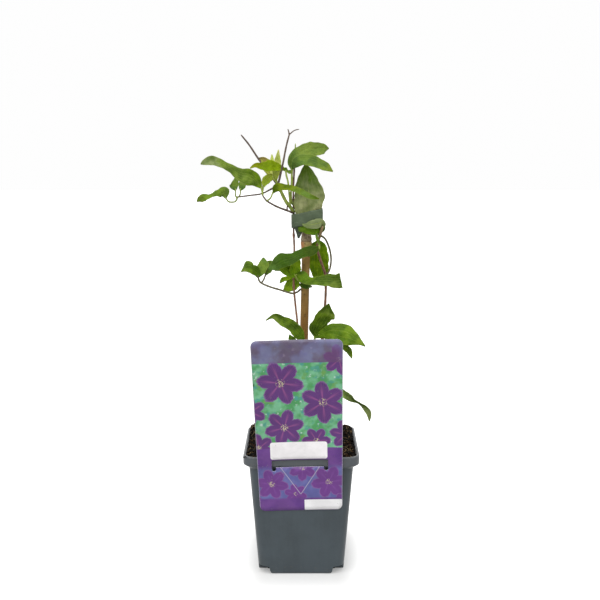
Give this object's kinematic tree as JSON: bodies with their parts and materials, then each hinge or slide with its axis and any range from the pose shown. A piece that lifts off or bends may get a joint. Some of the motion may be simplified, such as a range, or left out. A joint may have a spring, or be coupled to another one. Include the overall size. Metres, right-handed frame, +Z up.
{
  "type": "potted climbing plant",
  "caption": "Young climbing plant in a square nursery pot of compost, tied to a bamboo cane, with a care label clipped on the rim.",
  "frame": {"origin": "middle of the flat foot of the pot, on the surface that it stands on", "axes": "+Z up along the pot's axis, +X to the right as seen from the label side, -Y towards the label"},
  "size_m": [0.1377, 0.1112, 0.3481],
  "materials": {
    "pot": "satin",
    "compost": "matte",
    "cane": "satin",
    "tie": "satin",
    "label": "satin",
    "stem": "matte",
    "leaf": "satin",
    "fresh_leaf": "satin"
  },
  "bodies": {
    "root": {"pot": "pot", "compost": "compost", "cane": "cane", "tie": "tie", "label": "label", "stem_left": "stem", "stem_right": "stem", "leaf_far": "leaf", "leaf_long": "leaf", "leaf_across": "leaf", "leaf_lime": "fresh_leaf", "shoot_tip": "fresh_leaf", "leaf_top": "leaf", "leaf_tied": "leaf", "leaf_mid_long": "leaf", "leaf_mid_left": "leaf", "leaf_mid": "leaf", "leaf_hanging": "leaf", "leaf_low_left": "leaf", "leaf_low_right": "leaf", "leaf_droop": "leaf", "leaf_low_back": "leaf"}
  },
  "joints": []
}
